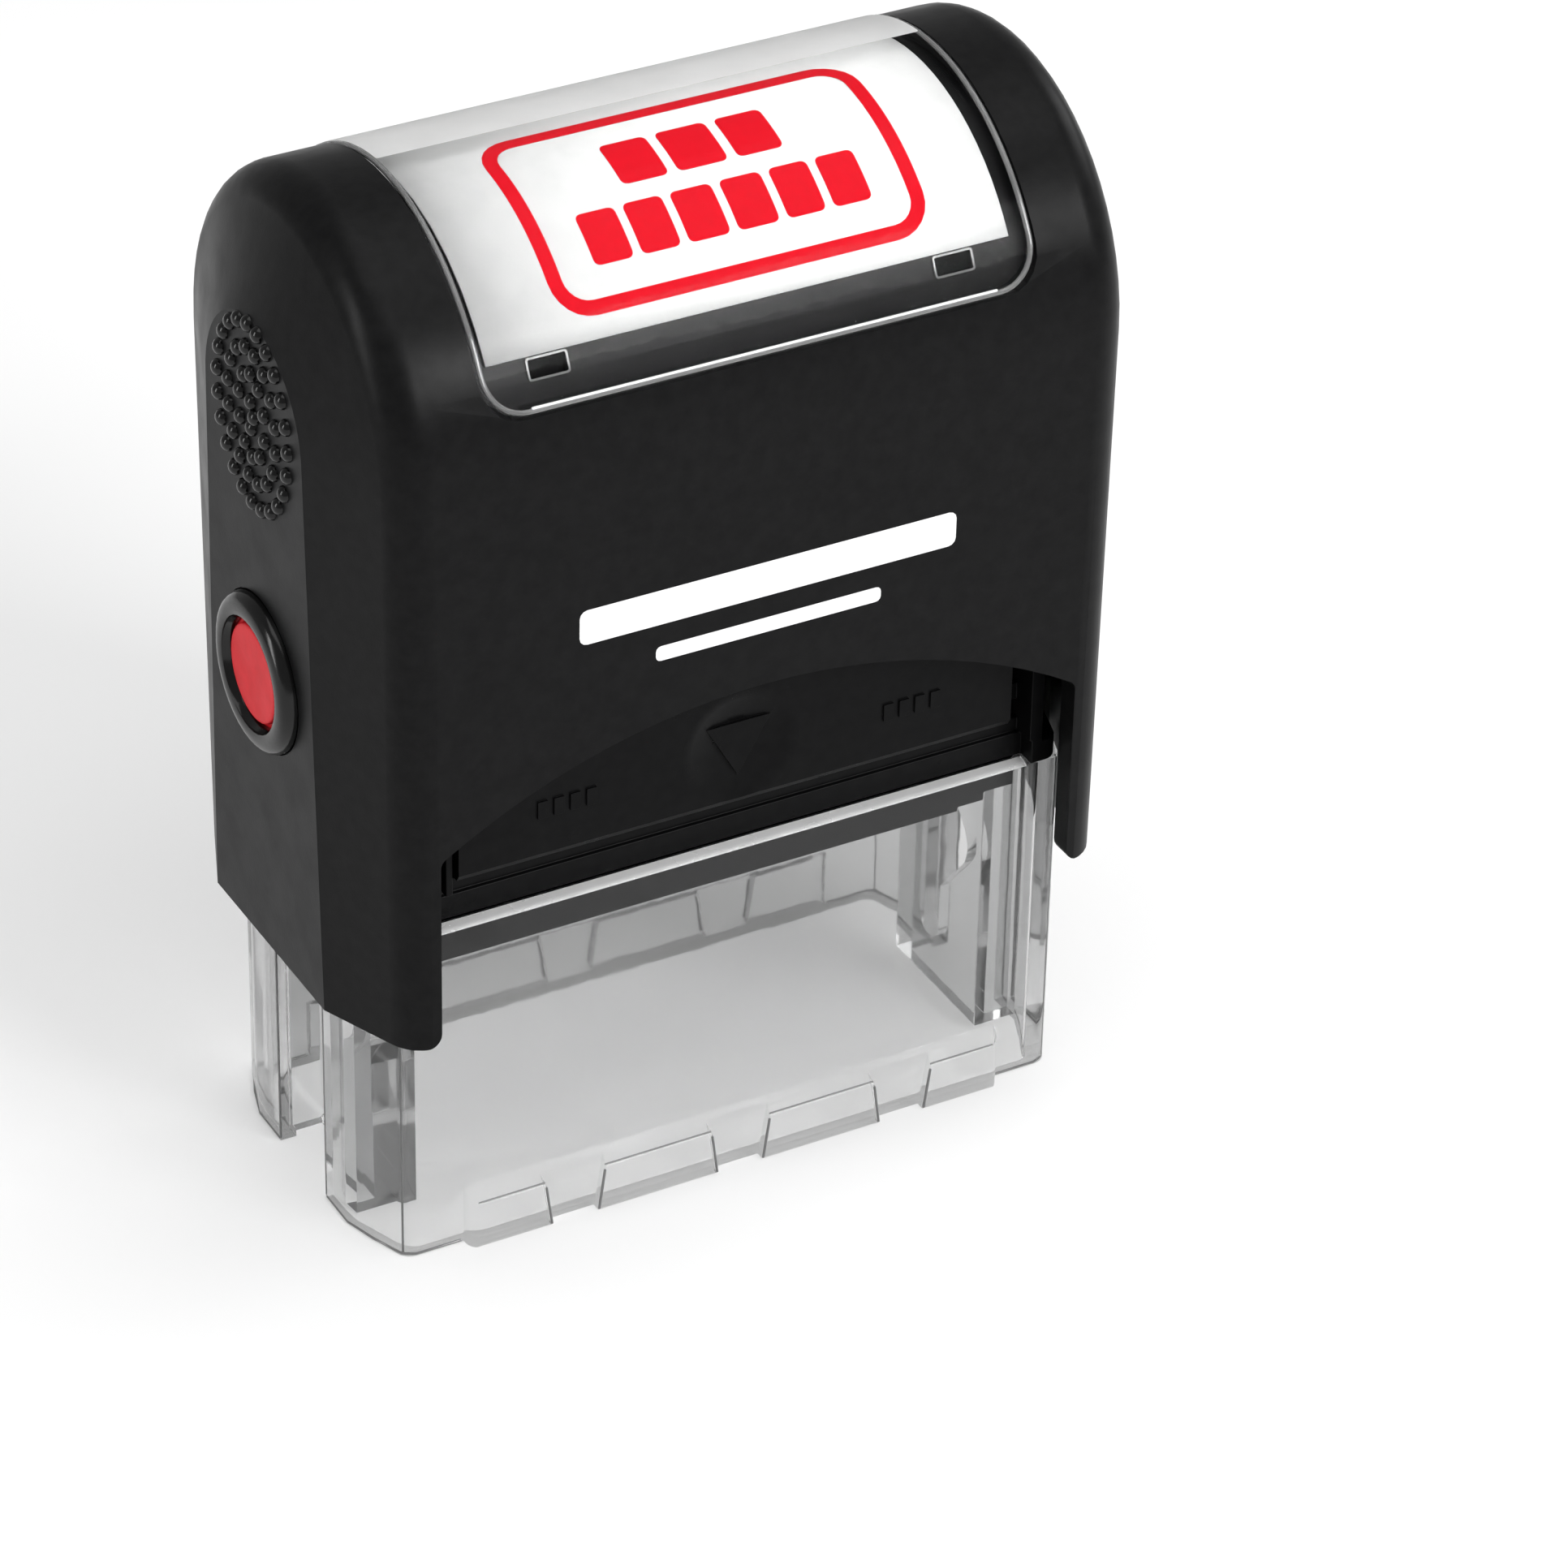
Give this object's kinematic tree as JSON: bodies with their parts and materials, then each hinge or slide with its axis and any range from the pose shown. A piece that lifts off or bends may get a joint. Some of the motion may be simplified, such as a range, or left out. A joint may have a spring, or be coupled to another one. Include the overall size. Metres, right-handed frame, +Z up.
{
  "type": "self inking stamp",
  "caption": "Sprung office stamp: pressing the cap turns a rubber die over from an ink pad to the paper, with side lock buttons, a clear skirt and an index window on top.",
  "frame": {"origin": "centre of the footprint, on the table", "axes": "+Z up, front towards -Y, +X to the right seen from the front"},
  "size_m": [0.065, 0.0346, 0.0825],
  "materials": {
    "black_plastic": "satin moulded black",
    "inner_black": "smooth moulded black",
    "clear_plastic": "clear, polished",
    "red_plastic": "smooth red",
    "spring_steel": "bright steel wire and pins",
    "card": "white card with a red printed frame and bars",
    "ink_foam": "foam soaked with red ink",
    "grey_foam": "grey foam cushion",
    "text_rubber": "red-brown moulded rubber"
  },
  "bodies": {
    "base": {"base_skirt": "clear_plastic", "base_frame": "inner_black", "return_spring": "spring_steel"},
    "pad": {"ink_pad_tray": "inner_black", "ink_pad_foam": "ink_foam"},
    "cap": {"cap_shell": "black_plastic", "index_card": "card", "spring_seat": "inner_black", "left_button_ring": "black_plastic", "right_button_ring": "black_plastic", "left_button_spring": "spring_steel", "right_button_spring": "spring_steel"},
    "window": {"index_window": "clear_plastic"},
    "die": {"die_carrier": "inner_black", "die_cushion": "grey_foam", "rubber_text_plate": "text_rubber", "left_flip_arm": "inner_black", "right_flip_arm": "inner_black", "left_axle_pin": "spring_steel", "right_axle_pin": "spring_steel"},
    "left_button": {"left_lock_button": "red_plastic"},
    "right_button": {"right_lock_button": "red_plastic"}
  },
  "joints": [
    {"name": "cap_press", "type": "slide", "parent": "base", "child": "cap", "axis": [0, 0, -1], "range_m": [0, 0.019], "stiffness_N_per_m": 450, "springref_m": -0.012, "deforming": ["return_spring"]},
    {"name": "die_turn", "type": "hinge", "parent": "cap", "child": "die", "pos_m": [0, 0, 0.0251], "axis": [-1, 0, 0], "range_deg": [0, 180]},
    {"name": "left_lock_press", "type": "slide", "parent": "cap", "child": "left_button", "axis": [1, 0, 0], "range_m": [0, 0.0011], "stiffness_N_per_m": 600, "springref_m": -0.0006, "deforming": ["left_button_spring"]},
    {"name": "right_lock_press", "type": "slide", "parent": "cap", "child": "right_button", "axis": [-1, 0, 0], "range_m": [0, 0.0011], "stiffness_N_per_m": 600, "springref_m": -0.0006, "deforming": ["right_button_spring"]},
    {"name": "window_lift", "type": "slide", "parent": "cap", "child": "window", "axis": [0, 0, 1], "range_m": [0, 0.012]},
    {"name": "pad_push", "type": "slide", "parent": "base", "child": "pad", "axis": [0, -1, 0], "range_m": [-0.024, 0]}
  ],
  "couplings": [
    {"joint": "die_turn", "follows": "cap_press", "rad_per_m": 165.34}
  ]
}
